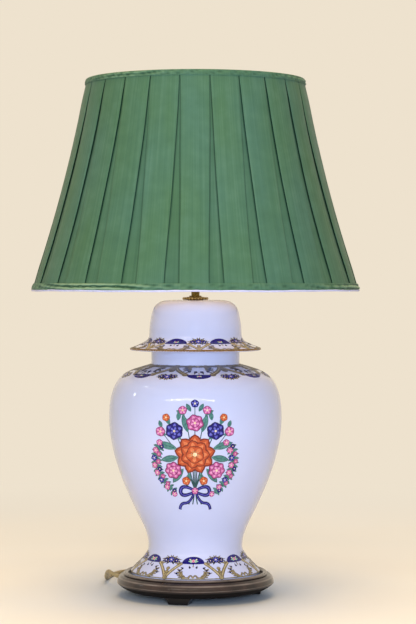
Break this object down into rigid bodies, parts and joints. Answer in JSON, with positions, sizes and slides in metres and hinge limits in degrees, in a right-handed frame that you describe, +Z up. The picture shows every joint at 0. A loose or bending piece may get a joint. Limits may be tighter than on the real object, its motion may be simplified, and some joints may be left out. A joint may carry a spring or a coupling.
{
  "type": "table lamp",
  "caption": "Table lamp with a painted porcelain temple jar and lid on a turned hardwood stand, a brass bayonet lampholder and a wide box-pleated cloth shade.",
  "frame": {"origin": "on the table plane, under the axis of the stand and jar", "axes": "+Z up along the lamp's axis, -Y to the front, +X to the right of someone facing the front"},
  "size_m": [0.4569, 0.4765, 0.7195],
  "materials": {
    "stand_wood": "gloss",
    "porcelain": "gloss",
    "zinc_steel": "satin",
    "brass": "polished",
    "rubber": "matte",
    "white_plastic": "gloss",
    "dark_plastic": "matte",
    "plug_plastic": "satin",
    "opal_glass": "satin",
    "green_cloth": "satin",
    "cream_cloth": "matte",
    "white_wire": "gloss",
    "gold_flex": "satin"
  },
  "bodies": {
    "lamp": {"wooden_stand": "stand_wood", "stand_foot_1": "stand_wood", "stand_foot_2": "stand_wood", "stand_foot_3": "stand_wood", "porcelain_jar": "porcelain", "porcelain_lid": "porcelain", "threaded_rod": "zinc_steel", "base_washer": "zinc_steel", "base_nut": "brass", "lid_washer": "rubber", "vase_cap": "brass", "stem_tube": "brass", "lampholder_cap": "brass", "lampholder_barrel": "brass", "lampholder_skirt": "brass", "terminal_block": "white_plastic", "contact_plungers": "brass", "shade_ring": "brass", "shade_carrier": "brass", "inner_flex": "gold_flex", "strain_relief": "rubber", "cord_lead": "gold_flex", "cord_coil": "gold_flex", "cord_tail": "gold_flex", "cord_tie": "dark_plastic", "plug_body": "plug_plastic", "plug_pins": "brass", "plug_fuse_cover": "dark_plastic"},
    "switch": {"switch_bar": "white_plastic"},
    "bulb": {"bulb_cap": "brass", "bulb_contacts": "dark_plastic", "bulb_glass": "opal_glass"},
    "shade": {"shade_cover": "green_cloth", "shade_lining": "cream_cloth", "shade_top_trim": "green_cloth", "shade_bottom_trim": "green_cloth", "shade_frame": "white_wire", "shade_fitter": "white_wire"}
  },
  "joints": [
    {"name": "shade_turn", "type": "hinge", "parent": "lamp", "child": "shade", "pos_m": [0, 0, 0.6875], "axis": [0, 0, 1], "continuous": true},
    {"name": "switch_push", "type": "slide", "parent": "lamp", "child": "switch", "axis": [1, 0, 0], "range_m": [0, 0.004]},
    {"name": "bulb_twist", "type": "hinge", "parent": "lamp", "child": "bulb", "pos_m": [0, 0, 0.4982], "axis": [0, 0, 1], "range_deg": [0, 18]}
  ]
}
